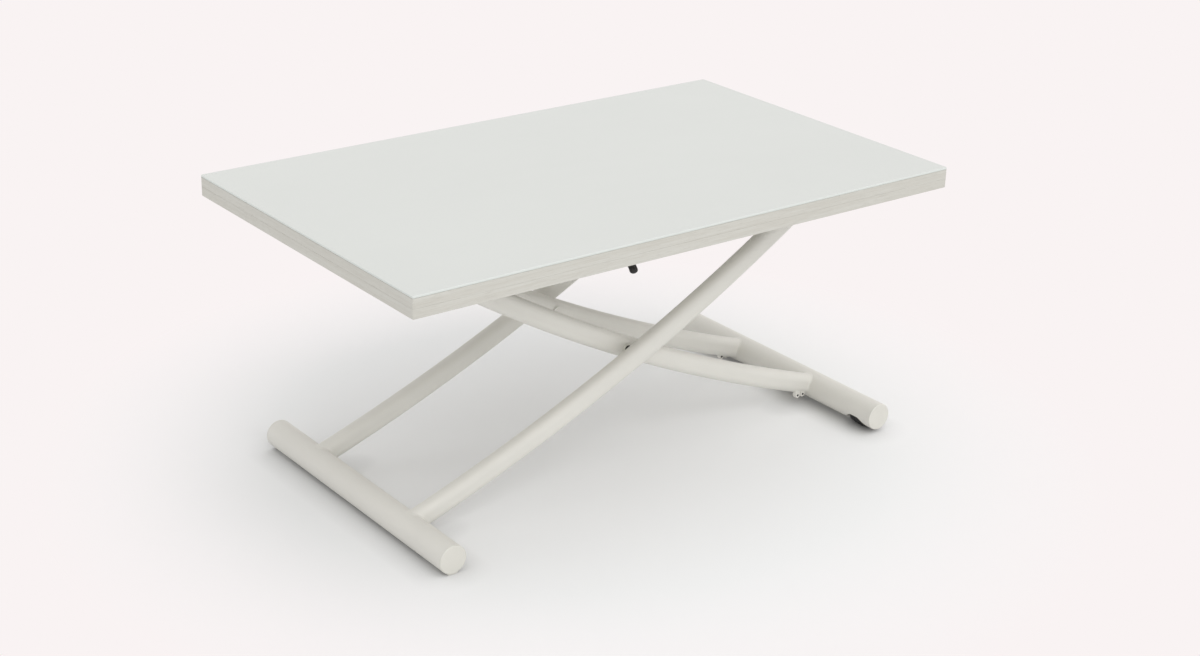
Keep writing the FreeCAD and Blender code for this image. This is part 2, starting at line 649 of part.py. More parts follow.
def eye_slot(eye):
    """Upright slot of the cylinder's eye, in which the crank pin rises and falls as it swings."""
    slot_rise = CRANK_RISE + EYE_PLAY
    slot_half = EYE_PIN_RADIUS + EYE_PLAY
    middle = box(eye.x - slot_half, eye.x + slot_half, -EYE_WIDTH, EYE_WIDTH, eye.z - slot_rise,
                 eye.z + slot_rise)
    ends = []
    for sign in (-1, 1):
        ends.append(across(slot_half, eye + ALONG_Z * sign * slot_rise, -EYE_WIDTH, EYE_WIDTH))
    return fused(middle, ends)


def release_head(start, end):
    """Head on the rod, held in the clevis, with the tongue that frees the spring's valve."""
    half = RELEASE_HEAD_HALF
    low = GAS_HEIGHT - half
    body = box(start.x, end.x, -half, half, low, GAS_HEIGHT + half)
    nose = across(half, end, -half, half)
    tongue = box(LEVER_X - TONGUE_WIDTH / 2, LEVER_X + TONGUE_WIDTH / 2, TONGUE_END_Y, -half, low,
                 low + TONGUE_THICKNESS)
    head = fused(body, [nose, tongue])
    return head.cut(across(EYE_PIN_RADIUS, end, -half, half))


def make_clevis():
    pin_centre = vector(RELEASE_X, 0, GAS_HEIGHT)
    plate_start = -CLEVIS_INSIDE - CLEVIS_PLATE
    plate = box(RELEASE_X - CLEVIS_HALF_WIDTH, RELEASE_X + CLEVIS_HALF_WIDTH, plate_start, -CLEVIS_INSIDE,
                GAS_HEIGHT, CROSSBAR_BOTTOM)
    foot = across(CLEVIS_HALF_WIDTH, pin_centre, plate_start, -CLEVIS_INSIDE)
    plate = fused(plate, [foot]).cut(across(EYE_PIN_RADIUS, pin_centre, plate_start, -CLEVIS_INSIDE))
    pin_start = plate_start - CLEVIS_PIN_END
    save("release_clevis", plate, rear(plate), across(EYE_PIN_RADIUS, pin_centre, pin_start, -pin_start))


def bent_rod(radius, points):
    """A round bar through the given points, with ball corners."""
    pieces = []
    for start, end in zip(points, points[1:]):
        pieces.append(rod(radius, start, end))
    for corner in points[1:-1]:
        pieces.append(Part.makeSphere(radius, corner))
    return fused(pieces[0], pieces[1:])


def lever_point(y, z):
    return vector(LEVER_X, y, z)


def make_lever():
    pivot = lever_point(LEVER_PIVOT_Y, LEVER_PIVOT_Z)
    half_hub = ALONG_X * (LEVER_HUB_WIDTH / 2)
    rise = lever_point(LEVER_RISE_Y, GRIP_HEIGHT)
    end = lever_point(LEVER_END_Y, GRIP_HEIGHT)
    route = [lever_point(*LEVER_TOE), lever_point(*LEVER_KNEE), pivot, lever_point(LEVER_BEND_Y, LEVER_PIVOT_Z),
             rise, end]
    hub = rod(LEVER_HUB_RADIUS, pivot - half_hub, pivot + half_hub)
    hub_bore = rod(LEVER_RADIUS + RUNNING_GAP, pivot - half_hub, pivot + half_hub)
    save("lever_arm", fused(hub, [bent_rod(LEVER_RADIUS, route)]).cut(hub_bore))
    make_lever_pivot(pivot)
    make_grip(rod(LEVER_RADIUS, rise, end))


def make_lever_pivot(pivot):
    """Ear under the crossbar with the headed pin that the lever turns on."""
    near = vector(RELEASE_X - LEVER_BRACKET_INSET, pivot.y, pivot.z)
    far = near + ALONG_X * LEVER_BRACKET_WIDTH
    head_inner = pivot - ALONG_X * (LEVER_HUB_WIDTH / 2 + LEVER_PIN_GAP)
    head_outer = head_inner - ALONG_X * LEVER_PIN_HEAD
    pin = rod(LEVER_RADIUS, head_inner, far)
    save("lever_pin", fused(pin, [rod(LEVER_RADIUS + LEVER_PIN_HEAD, head_outer, head_inner)]))
    ear = box(near.x, far.x, pivot.y - LEVER_HUB_RADIUS, pivot.y + LEVER_HUB_RADIUS, pivot.z, CROSSBAR_BOTTOM)
    save("lever_bracket", fused(ear, [rod(LEVER_HUB_RADIUS, near, far)]).cut(pin))


def make_grip(socket):
    """Finger grip, curled down to a round tip, with a socket for the lever's end."""
    def corner(y, z):
        return vector(LEVER_X - GRIP_WIDTH / 2, y, z)

    low = GRIP_HEIGHT - GRIP_THICKNESS / 2
    high = GRIP_HEIGHT + GRIP_THICKNESS / 2
    tip_z = GRIP_HEIGHT - GRIP_DROP
    bend_y = GRIP_TIP_Y + GRIP_OUTER_BEND
    inner_y = bend_y - GRIP_INNER_BEND
    tip_round = (inner_y - GRIP_TIP_Y) / 2
    outer_slant = GRIP_OUTER_BEND * math.sqrt(0.5)
    inner_slant = GRIP_INNER_BEND * math.sqrt(0.5)
    root_low = corner(GRIP_ROOT_Y, low)
    root_high = corner(GRIP_ROOT_Y, high)
    outer_start = corner(bend_y, high)
    outer_middle = corner(bend_y - outer_slant, high - GRIP_OUTER_BEND + outer_slant)
    outer_end = corner(GRIP_TIP_Y, high - GRIP_OUTER_BEND)
    tip_outer = corner(GRIP_TIP_Y, tip_z)
    tip_end = corner(GRIP_TIP_Y + tip_round, tip_z - tip_round)
    tip_inner = corner(inner_y, tip_z)
    inner_start = corner(inner_y, low - GRIP_INNER_BEND)
    inner_middle = corner(bend_y - inner_slant, low - GRIP_INNER_BEND + inner_slant)
    inner_end = corner(bend_y, low)
    outline = [
        Part.LineSegment(root_low, root_high).toShape(),
        Part.LineSegment(root_high, outer_start).toShape(),
        Part.Arc(outer_start, outer_middle, outer_end).toShape(),
        Part.LineSegment(outer_end, tip_outer).toShape(),
        Part.Arc(tip_outer, tip_end, tip_inner).toShape(),
        Part.LineSegment(tip_inner, inner_start).toShape(),
        Part.Arc(inner_start, inner_middle, inner_end).toShape(),
        Part.LineSegment(inner_end, root_low).toShape(),
    ]
    grip = Part.Face(Part.Wire(outline)).extrude(ALONG_X * GRIP_WIDTH)
    sides = [edge for edge in grip.Edges if edge.BoundBox.XLength < GRIP_EDGE]
    save("lever_grip", grip.makeFillet(GRIP_EDGE, sides).cut(socket))


# Leaves
def leaf_sheet(bottom, thickness, arris):
    """A sheet of the leaf's outline with rounded corners and, where it has one, a fine arris all round."""
    half_length = TOP_LENGTH / 2
    sheet = box(-half_length, half_length, -TOP_WIDTH / 2, TOP_REAR, bottom, bottom + thickness)
    uprights = [edge for edge in sheet.Edges if edge.BoundBox.ZLength > thickness / 2]
    sheet = sheet.makeFillet(BOARD_CORNER, uprights)
    rims = [edge for edge in sheet.Edges if edge.BoundBox.ZLength < thickness / 2]
    return sheet.makeChamfer(arris, rims) if arris else sheet


def barrel(radius, x, start, end):
    """A length of one hinge's barrel, about the pin's axis."""
    return rod(radius, vector(x + start, HINGE_Y, HINGE_Z), vector(x + end, HINGE_Y, HINGE_Z))


def hinge_plate(flat, x, knuckles, other_knuckles, bore_radius):
    """A flat plate with its own knuckles, cleared for those of the plate that it turns on."""
    room = KNUCKLE_RADIUS + KNUCKLE_GAP
    for start, end in other_knuckles:
        flat = flat.cut(barrel(room, x, start - KNUCKLE_GAP, end + KNUCKLE_GAP))
    plate = fused(flat, [barrel(KNUCKLE_RADIUS, x, start, end) for start, end in knuckles])
    return plate.cut(barrel(bore_radius, x, -KNUCKLE_REACH, KNUCKLE_REACH))


def make_leaf(name, board_bottom, plate_bottom, knuckles, other_knuckles, bore_radius):
    """One board with its hinge plates let flush into its inner face."""
    board = leaf_sheet(board_bottom, BOARD_THICKNESS, 0)
    plates = []
    for x in HINGE_PLACES_X:
        flat = box(x - HINGE_LENGTH / 2, x + HINGE_LENGTH / 2, TOP_REAR - HINGE_DEPTH, TOP_REAR, plate_bottom,
                   plate_bottom + HINGE_THICKNESS)
        board = board.cut(flat)
        plates.append(hinge_plate(flat, x, knuckles, other_knuckles, bore_radius))
    save(name + "_board", board)
    save("hinge_plates_" + name, *plates)


def make_leaves():
    middle_end = KNUCKLE_MIDDLE - KNUCKLE_GAP
    middle_knuckle = [(-middle_end, middle_end)]
    outer_knuckles = [(-KNUCKLE_REACH, -KNUCKLE_MIDDLE), (KNUCKLE_MIDDLE, KNUCKLE_REACH)]
    make_leaf("lower", LOWER_BOARD_BOTTOM, LOWER_BOARD_TOP - HINGE_THICKNESS, outer_knuckles, middle_knuckle,
              HINGE_PIN_RADIUS)
    make_leaf("upper", UPPER_BOARD_BOTTOM, UPPER_BOARD_BOTTOM, middle_knuckle, outer_knuckles,
              HINGE_PIN_RADIUS + RUNNING_GAP)
    pins = [barrel(HINGE_PIN_RADIUS, x, -KNUCKLE_REACH, KNUCKLE_REACH) for x in HINGE_PLACES_X]
    save("hinge_pins", *pins)
    save("glass_top", leaf_sheet(UPPER_BOARD_TOP, GLASS_THICKNESS, GLASS_ARRIS))


make_foot_bars()
make_glide_caps()
make_wheels()
make_legs()
make_pivots()
make_rollers()
make_hinge_bolts()
make_rails()
make_crossbars()
make_tracks()
make_shoes()
make_crank()
make_gas_spring()
make_clevis()
make_lever()
make_leaves()
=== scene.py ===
import math

import bmesh
import bpy
from bpy.props import FloatProperty, FloatVectorProperty, PointerProperty
from mathutils import Matrix, Vector


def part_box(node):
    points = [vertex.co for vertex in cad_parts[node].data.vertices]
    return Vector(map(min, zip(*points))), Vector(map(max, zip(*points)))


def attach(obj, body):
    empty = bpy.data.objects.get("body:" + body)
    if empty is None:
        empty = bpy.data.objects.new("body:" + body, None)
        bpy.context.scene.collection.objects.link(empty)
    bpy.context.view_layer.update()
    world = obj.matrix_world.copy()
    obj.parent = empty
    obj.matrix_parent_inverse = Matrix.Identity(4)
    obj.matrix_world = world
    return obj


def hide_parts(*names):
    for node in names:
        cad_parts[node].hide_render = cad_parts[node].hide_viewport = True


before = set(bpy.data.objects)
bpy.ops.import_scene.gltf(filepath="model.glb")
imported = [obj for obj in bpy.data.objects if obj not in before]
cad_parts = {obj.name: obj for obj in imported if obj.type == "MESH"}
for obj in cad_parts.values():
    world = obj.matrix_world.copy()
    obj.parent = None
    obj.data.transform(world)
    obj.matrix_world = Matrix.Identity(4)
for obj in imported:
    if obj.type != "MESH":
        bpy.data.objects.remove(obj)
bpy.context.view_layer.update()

bl_info = {
    "name": "Extending lift table",
    "version": (1, 0, 0),
    "blender": (4, 5, 0),
    "location": "3D View > Sidebar > Lift table",
    "description": "Finishes, welds, fasteners and a studio for an extending lift table",
    "category": "Object",
}

MILLIMETRE = 0.001

# Legs and foot bars, in metres

LEG_DEPTH = 0.038
LEG_WIDTH = 0.030
LEG_CORNER = 0.014
LEG_FOOT = Vector((-0.448, 0.0, 0.031))
CROSSING = Vector((0.0185, 0.0, 0.222))
OUTER_UPPER = Vector((0.3995, 0.0, 0.4395))
OUTER_LEG_Y = 0.149
INNER_LEG_Y = 0.103
BAR_RADIUS = 0.025
FIXED_BAR = Vector((-0.448, 0.0, 0.0265))
WHEEL_BAR = Vector((0.485, 0.0, 0.031))

# Welds, whose hollow face is given as shares of their width

WELD_REACH = 0.97
WELD_FAR = 0.55
WELD_NEAR = 0.30
WELD_POINTS = 96

# Floor wheels, whose grooves are placed by shares of the half width

AXLE_RADIUS = 0.003
WHEEL_EDGE_RADIUS = 0.0105
WHEEL_EASE = 0.0008
WHEEL_STEPS = 72
RIM_WIDTH = 0.0010
RIM_FOOT = 0.0018
HUB_FOOT = 0.0006
GROOVE_PLACES = (-0.66, -0.33, 0.0, 0.33, 0.66)

# Crossing spacers

CROSS_PIN_RADIUS = 0.006
SPACER_EASE = 0.0003

# Pierced lugs

EAR_PLACES_X = (0.4370, 0.4495)
EAR_RADIUS = 0.0055
EAR_STEM = 0.012
EAR_HOLE = 0.0021
EAR_EASE = 0.0005

# Release grip

GRIP_HALF_DEPTH = 0.005
GRIP_STRAIGHT = 0.0305
GRIP_EASE = 0.0010
GRIP_ROOT_SHARE = 0.88
GRIP_FLARE = 0.18
GRIP_TIP = 0.0055
GRIP_STEPS = 10

# Seam strip

BOARD_CORNER = 0.003
STRIP_WIDTH = 0.0022
STRIP_CLEARANCE = 0.00006
STRIP_END = 0.012
STRIP_STEPS = 8

# Hinge screws, whose heads are given as shares of their radius and rise

HINGE_PLACES_X = (-0.430, 0.0, 0.430)
SCREW_ALONG = (-0.014, 0.014)
SCREW_INSET = 0.011
SCREW_POINTS = 64
WALL_RISE = 0.5
SHOULDER_RADIUS = 0.92
SHOULDER_RISE = 0.9
CROWN_RADIUS = 0.72
RECESS_RISE = 0.1
CROSS_ARM = 0.0021
CROSS_HALF_WIDTH = 0.0006

# Gas spring collar, whose outline is given as shares of its length and of the cylinder's radius

GAS_RADIUS = 0.011
ROD_RADIUS = 0.005
GLAND_OUTLINE = ((0.45, 0.94), (0.60, 0.84), (0.75, 0.66), (1.00, 0.60))

# All small pieces

SINK = 0.0003
MERGE_DISTANCE = 0.000005
SMOOTH_ANGLE = math.radians(35)
RING_POINTS = 48
SPIN_STEPS = 64

# Studio, with the camera's frame in millimetres and the floor's fade in metres from the middle

FRAME_WIDTH = 36.0
VIEW_END = 200.0
FLOOR_HALF = 30.0
# The colour of the floor's painted contact shade, as a share of the floor's near colour
CONTACT_SHADE = 0.60
CONTACT_RAYS = 8
FLOOR_SCALE = 0.5
FADE_START = 0.55
FADE_END = 0.95


def display(red, green, blue):
    """A colour as a screen shows it, in steps of 255, turned into light."""
    steps = []
    for step in (red, green, blue):
        share = step / 255
        steps.append(share / 12.92 if share <= 0.04045 else ((share + 0.055) / 1.055) ** 2.4)
    return tuple(steps)


def colour_property(name, description, default):
    """A colour that a user can change."""
    return FloatVectorProperty(name=name, description=description, default=default, size=3,
                               subtype="COLOR", min=0.0, max=1.0)


def size_property(name, description, millimetres):
    """A small length that a user can change."""
    return FloatProperty(name=name, description=description, default=millimetres * MILLIMETRE,
                         subtype="DISTANCE", unit="LENGTH", precision=5)


# Settings

class TableFinishes(bpy.types.PropertyGroup):
    """Colours of the table's finishes."""
    glass: colour_property("Glass", "Face of the satin glass", display(214, 217, 213))
    glass_edge: colour_property("Glass edge", "Ground edge of the glass", display(218, 222, 218))
    wood_light: colour_property("Wood, light", "Lighter fibres of the boards", display(210, 209, 202))
    wood_dark: colour_property("Wood, dark", "Darker fibres and pores of the boards",
                               display(198, 195, 186))
    paint: colour_property("Leg paint", "Powder coat of the legs and foot bars", display(222, 220, 213))
    frame_paint: colour_property("Frame paint", "Powder coat of the frame below the top",
                                 display(213, 211, 203))
    pale_plastic: colour_property("Pale plastic", "Moulded end caps, carriers, washers and shoes",
                                  display(219, 217, 209))
    black_plastic: colour_property("Black plastic", "Release grip, rollers, sleeves and bushes",
                                   display(26, 25, 25))
    rubber: colour_property("Rubber", "Tyres of the floor wheels", display(40, 40, 41))
    steel: colour_property("Steel", "Pins, bolts and rods", display(188, 188, 190))
    aluminium: colour_property("Aluminium", "Slide tracks", display(200, 201, 203))
    zinc: colour_property("Zinc", "Plated hinges", display(176, 177, 178))
    gas_black: colour_property("Gas spring", "Paint of the gas cylinder", display(24, 24, 26))


class TableStudio(bpy.types.PropertyGroup):
    """Camera, floor and light."""
    camera_place: FloatVectorProperty(name="Camera", description="Where the camera stands", size=3,
                                      default=(-2.02273, -2.69410, 1.62448), subtype="XYZ", unit="LENGTH")
    camera_turn: FloatProperty(name="Turn", description="Turn of the view from straight along the depth",
                               default=0.656, subtype="ANGLE", unit="ROTATION")
    camera_drop: FloatProperty(name="Drop", description="How far the camera looks down",
                               default=0.394, subtype="ANGLE", unit="ROTATION")
    camera_roll: FloatProperty(name="Roll", description="How far the camera leans",
                               default=0.025, subtype="ANGLE", unit="ROTATION")
    camera_lens: FloatProperty(name="Lens", description="Focal length on a 36 mm frame",
                               default=61.83, unit="CAMERA")
    backdrop: colour_property("Backdrop", "Colour behind the table and of the floor further off",
                              display(249, 243, 243))
    near_floor: colour_property("Floor near the table", "Colour of the lit floor round the table",
                                display(244, 244, 244))
    # Reach of the floor's painted contact shade
    contact_reach: FloatProperty(name="Contact shadow", description="How far the dark of a contact reaches",
                                 default=0.05, min=0.0, subtype="DISTANCE", unit="LENGTH")
    sky_strength: FloatProperty(name="Sky", description="Even light from all round", default=0.81, min=0.0)
    front_from: FloatVectorProperty(name="Front light", description="Where the wide front light comes from",
                                    size=3, default=(0.0, -0.75, 0.66), subtype="DIRECTION")
    front_strength: FloatProperty(name="Front strength", description="Strength of the wide front light",
                                  default=0.72, min=0.0)
    side_from: FloatVectorProperty(name="Side light", description="Where the wide side light comes from",
                                   size=3, default=(0.50, 0.0, 0.86), subtype="DIRECTION")
    side_strength: FloatProperty(name="Side strength", description="Strength of the wide side light",
                                 default=0.33, min=0.0)
    light_width: FloatProperty(name="Light width", description="How wide each soft light looks",
                               default=math.radians(50), subtype="ANGLE", unit="ROTATION")


class TableSizes(bpy.types.PropertyGroup):
    """Sizes of the small pieces."""
    weld_width: size_property("Weld width", "Leg of the weld where a tube meets a foot bar", 2.4)
    groove_depth: size_property("Groove depth", "Depth of the grooves in the tread of a wheel", 0.7)
    groove_width: size_property("Groove width", "Width of the grooves in the tread of a wheel", 1.6)
    hub_radius: size_property("Hub radius", "Radius of the boss in the side of a wheel", 5.6)
    dish_depth: size_property("Dish depth", "Depth of the dish round the boss of a wheel", 2.0)
    spacer_radius: size_property("Spacer radius", "Radius of the sleeve between two crossing legs", 6.5)
    washer_thickness: size_property("Washer thickness", "Thickness of the washer next to an inner leg", 5.0)
    lug_clearance: size_property("Lug clearance", "Height of the lugs' round ends above the floor", 18.0)
    grip_bend: size_property("Grip bend", "Radius of the bend in the release grip", 20.0)
    grip_slope: FloatProperty(name="Grip slope", description="How steeply the grip's tip points down",
                              default=math.radians(60), subtype="ANGLE", unit="ROTATION")
    strip_inset: size_property("Strip inset", "How far the seam strip lies behind the boards' edges", 0.3)
    screw_radius: size_property("Screw radius", "Radius of a hinge screw's head", 3.4)
    screw_rise: size_property("Screw rise", "How far a hinge screw's head stands out of its plate", 0.2)
    gland_length: size_property("Gland length", "Length of the collar on the end of the gas cylinder", 7.0)


# Shader maths

class Wire:
    """One output of a node. Sums on it add Math nodes."""

    def __init__(self, graph, socket):
        self.graph = graph
        self.socket = socket

    def worked(self, operation, first, second=0.0):
        return self.graph.node("ShaderNodeMath", {"operation": operation}, {0: first, 1: second})

    def __add__(self, other):
        return self.worked("ADD", self, other)

    def __radd__(self, other):
        return self.worked("ADD", other, self)

    def __sub__(self, other):
        return self.worked("SUBTRACT", self, other)

    def __rsub__(self, other):
        return self.worked("SUBTRACT", other, self)

    def __mul__(self, other):
        return self.worked("MULTIPLY", self, other)

    def __rmul__(self, other):
        return self.worked("MULTIPLY", other, self)

    def __gt__(self, other):
        return self.worked("GREATER_THAN", self, other)

    def __abs__(self):
        return self.worked("ABSOLUTE", self)


class Graph:
    """A tree of nodes that are added one call at a time."""

    def __init__(self, owner):
        owner.use_nodes = True
        self.tree = owner.node_tree
        self.tree.nodes.clear()

    def node(self, kind, settings, sockets, output=0):
        """Any node: its settings first, then the values or links of its sockets."""
        made = self.tree.nodes.new(kind)
        for name, value in settings.items():
            if name == "stops":
                self.set_stops(made.color_ramp, value)
            else:
                setattr(made, name, value)
        for name, value in sockets.items():
            if isinstance(value, Wire):
                self.tree.links.new(value.socket, made.inputs[name])
            else:
                made.inputs[name].default_value = value
        return Wire(self, made.outputs[output]) if made.outputs else None

    def set_stops(self, ramp, stops):
        while len(ramp.elements) < len(stops):
            ramp.elements.new(1.0)
        for element, (place, level) in zip(ramp.elements, stops):
            element.position = place
            element.color = (level, level, level, 1.0)

    def seen(self):
        """One where the camera looks straight, through glass or in a gloss, and zero elsewhere."""
        straight, gloss, through = (self.node("ShaderNodeLightPath", {}, {}, f"Is {kind} Ray")
                                    for kind in ("Camera", "Glossy", "Transmission"))
        return straight.worked("MAXIMUM", straight, gloss.worked("MAXIMUM", gloss, through))


class Paint(Graph):
    """A material for one finish."""

    def __init__(self, name):
        self.material = bpy.data.materials.new(name)
        super().__init__(self.material)

    def place(self):
        return self.node("ShaderNodeTexCoord", {}, {}, "Object")

    def facing(self):
        return self.node("ShaderNodeTexCoord", {}, {}, "Normal")

    def part(self, vector, axis):
        return self.node("ShaderNodeSeparateXYZ", {}, {0: vector}, axis)

    def joined(self, x, y, z):
        return self.node("ShaderNodeCombineXYZ", {}, {0: x, 1: y, 2: z})

    def noise(self, vector, stretch, detail=3.0, roughness=0.5, distortion=0.0):
        """Smooth noise with a number of waves per metre along each axis."""
        scaled = self.node("ShaderNodeMapping", {}, {"Vector": vector, "Scale": stretch})
        return self.node("ShaderNodeTexNoise", {}, {"Vector": scaled, "Scale": 1.0, "Detail": detail,
                                                    "Roughness": roughness, "Distortion": distortion})

    def ramp(self, value, *stops):
        return self.node("ShaderNodeValToRGB", {"stops": stops}, {0: value})

    def mix(self, share, first, second):
        """A colour between two colours."""
        sockets = {0: share, 6: self.colour(first), 7: self.colour(second)}
        return self.node("ShaderNodeMix", {"data_type": "RGBA"}, sockets, 2)

    def colour(self, value):
        return value if isinstance(value, Wire) else (*value, 1.0)

    def bump(self, height, depth):
        """A normal from a height, where a height of one stands the depth above the surface."""
        return self.node("ShaderNodeBump", {}, {"Height": height, "Strength": 1.0, "Distance": depth})

    def surface(self, colour, roughness, normal=None, **constants):
        """Ends the material with one surface shader."""
        sockets = {"Base Color": self.colour(colour), "Roughness": roughness}
        if normal is not None:
            sockets["Normal"] = normal
        for name, value in constants.items():
            sockets[name.replace("_", " ")] = value
        shader = self.node("ShaderNodeBsdfPrincipled", {}, sockets)
        self.node("ShaderNodeOutputMaterial", {}, {"Surface": shader})
        return self.material


def shade(colour, share):
    """The same colour, lighter or darker."""
    return tuple(min(1.0, level * share) for level in colour)


# Finishes

def satin_glass(name, finishes):
    """Etched glass with a pale back: soft gloss, faint clouds and a ground edge."""
    paint = Paint(name)
    place = paint.place()
    upright = paint.part(paint.facing(), "Z")
    on_face = abs(upright) > 0.9
    clouds = paint.noise(place, (5, 5, 5), 2.0)
    etch = paint.noise(place, (2600, 2600, 2600), 2.0)
    wiped = paint.noise(place, (9, 30, 9), 4.0, 0.6, 0.4)
    face = paint.mix(clouds, shade(finishes.glass, 0.985), shade(finishes.glass, 1.015))
    colour = paint.mix(on_face, tuple(finishes.glass_edge), face)
    roughness = 0.30 + wiped * 0.10 + etch * 0.04
    return paint.surface(colour, roughness, paint.bump(etch, 0.000008), IOR=1.5)


def bleached_wood(name, finishes):
    """Pale wood whose grain runs along each edge and along the faces."""
    paint = Paint(name)
    place = paint.place()
    x, y, z = (paint.part(place, axis) for axis in "XYZ")
    on_end = abs(paint.part(paint.facing(), "X")) > 0.7
    along = x + (y - x) * on_end
    across = y + (x - y) * on_end
    grain = paint.joined(along, across, z)
    bands = paint.noise(grain, (3.0, 90, 110), 3.0, 0.55, 0.6)
    fibres = paint.noise(grain, (14, 520, 560), 3.0, 0.6, 0.3)
    pores = paint.noise(grain, (55, 1700, 1900), 2.0, 0.5)
    pore_lines = paint.ramp(pores, (0.30, 0.0), (0.42, 1.0))
    tone = paint.ramp(bands * 0.45 + fibres * 0.55, (0.32, 0.0), (0.68, 1.0))
    wood = paint.mix(tone, tuple(finishes.wood_dark), tuple(finishes.wood_light))
    colour = paint.mix(pore_lines, shade(finishes.wood_dark, 0.94), wood)
    roughness = 0.62 - tone * 0.10
    height = fibres * 0.5 + pore_lines * 0.5
    return paint.surface(colour, roughness, paint.bump(height, 0.00006))


def powder_coat(name, colour):
    """Matt paint with a fine skin and faint changes of tone."""
    paint = Paint(name)
    place = paint.place()
    tone = paint.noise(place, (11, 11, 11), 3.0)
    skin = paint.noise(place, (1100, 1100, 1100), 3.0, 0.55)
    grit = paint.noise(place, (4200, 4200, 4200), 1.0)
    painted = paint.mix(tone, shade(colour, 0.965), shade(colour, 1.03))
    roughness = 0.44 + skin * 0.12
    return paint.surface(painted, roughness, paint.bump(skin * 0.7 + grit * 0.3, 0.00004))


def moulded_plastic(name, colour, roughness):
    """Plastic from a sparked mould: a very fine even texture."""
    paint = Paint(name)
    place = paint.place()
    tone = paint.noise(place, (25, 25, 25), 2.0)
    sparks = paint.noise(place, (2900, 2900, 2900), 2.0, 0.6)
    moulded = paint.mix(tone, shade(colour, 0.95), shade(colour, 1.05))
    finish = roughness - 0.06 + sparks * 0.12
    return paint.surface(moulded, finish, paint.bump(sparks, 0.00003))


def worn_rubber(name, colour):
    """Rubber that has picked up dust from the floor."""
    paint = Paint(name)
    place = paint.place()
    dust = paint.ramp(paint.noise(place, (160, 90, 160), 5.0, 0.65), (0.48, 0.0), (0.75, 1.0))
    skin = paint.noise(place, (1900, 1900, 1900), 2.0)
    dusty = paint.mix(dust * 0.35, tuple(colour), display(120, 116, 110))
    return paint.surface(dusty, 0.66 + dust * 0.18, paint.bump(skin, 0.00005))


def turned_steel(name, colour):
    """Bright bar stock, with tool marks round the bar, which lies across the table."""
    paint = Paint(name)
    place = paint.place()
    marks = paint.noise(place, (40, 3800, 40), 3.0, 0.6)
    smears = paint.noise(place, (90, 90, 90), 3.0)
    metal = paint.mix(smears, shade(colour, 0.86), shade(colour, 1.06))
    roughness = 0.22 + smears * 0.12 + marks * 0.10
    return paint.surface(metal, roughness, paint.bump(marks, 0.00001), Metallic=1.0)


def drawn_aluminium(name, colour):
    """Extruded track with die lines along its length."""
    paint = Paint(name)
    place = paint.place()
    lines = paint.noise(place, (2600, 5, 2600), 3.0, 0.6)
    haze = paint.noise(place, (40, 8, 40), 2.0)
    metal = paint.mix(haze, shade(colour, 0.92), shade(colour, 1.04))
    roughness = 0.34 + lines * 0.14
    return paint.surface(metal, roughness, paint.bump(lines, 0.00001), Metallic=1.0)


def plated_zinc(name, colour):
    """Zinc plating with cloudy patches of a warmer tone."""
    paint = Paint(name)
    place = paint.place()
    clouds = paint.noise(place, (140, 140, 140), 4.0, 0.6, 0.5)
    specks = paint.noise(place, (1500, 1500, 1500), 2.0)
    warm = (colour[0] * 1.05, colour[1], colour[2] * 0.88)
    metal = paint.mix(clouds, tuple(colour), warm)
    roughness = 0.30 + clouds * 0.18
    return paint.surface(metal, roughness, paint.bump(specks, 0.00001), Metallic=1.0)


def enamelled_black(name, colour):
    """Semi-gloss black enamel of the gas cylinder, with fine rubbing marks along it."""
    paint = Paint(name)
    place = paint.place()
    rubbing = paint.noise(place, (18, 1600, 1600), 3.0, 0.6)
    tone = paint.noise(place, (30, 30, 30), 2.0)
    enamel = paint.mix(tone, tuple(colour), shade(colour, 1.5))
    return paint.surface(enamel, 0.26 + rubbing * 0.14, paint.bump(rubbing, 0.00001))


def finish_name(slot):
    """Name of the material that finishes a slot of the record."""
    return slot + "_finish"


def finish_of(slot):
    return bpy.data.materials[finish_name(slot)]


class TABLE_OT_finishes(bpy.types.Operator):
    """Give every piece of the frame its finish"""
    bl_idname = "table.finishes"
    bl_label = "Finish the table"

    def execute(self, context):
        finishes = context.scene.table_finishes
        satin_glass(finish_name("satin_glass"), finishes)
        bleached_wood(finish_name("oak_board"), finishes)
        powder_coat(finish_name("leg_paint"), finishes.paint)
        powder_coat(finish_name("frame_paint"), finishes.frame_paint)
        moulded_plastic(finish_name("white_plastic"), finishes.pale_plastic, 0.42)
        moulded_plastic(finish_name("black_plastic"), finishes.black_plastic, 0.48)
        worn_rubber(finish_name("black_rubber"), finishes.rubber)
        turned_steel(finish_name("bright_steel"), finishes.steel)
        drawn_aluminium(finish_name("track_aluminium"), finishes.aluminium)
        plated_zinc(finish_name("zinc"), finishes.zinc)
        enamelled_black(finish_name("gas_black"), finishes.gas_black)
        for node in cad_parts.values():
            for slot in node.material_slots:
                slot.material = finish_of(slot.material.name)
        return {"FINISHED"}


# Ways of making a piece

def add_piece(name, shape, body, slot, *other_slots):
    """Turns a finished shape into an object that rides on a body of the frame."""
    bmesh.ops.remove_doubles(shape, verts=shape.verts, dist=MERGE_DISTANCE)
    bmesh.ops.recalc_face_normals(shape, faces=shape.faces)
    for face in shape.faces:
        face.smooth = True
    mesh = bpy.data.meshes.new(name)
    shape.to_mesh(mesh)
    shape.free()
    mesh.set_sharp_from_angle(angle=SMOOTH_ANGLE)
    for used in (slot, *other_slots):
        mesh.materials.append(finish_of(used))
    piece = bpy.data.objects.new(name, mesh)
    bpy.context.scene.collection.objects.link(piece)
    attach(piece, body)
    return piece


def ring(shape, steps, placed):
    """A closed line of edges whose points are placed by their direction round the ring."""
    half_step = Matrix.Rotation(math.pi / steps, 4, "Z")
    made = bmesh.ops.create_circle(shape, segments=steps, radius=1.0, matrix=half_step)
    for vert in made["verts"]:
        vert.co = placed(vert.co.x, vert.co.y)
    return list({edge for vert in made["verts"] for edge in vert.link_edges})


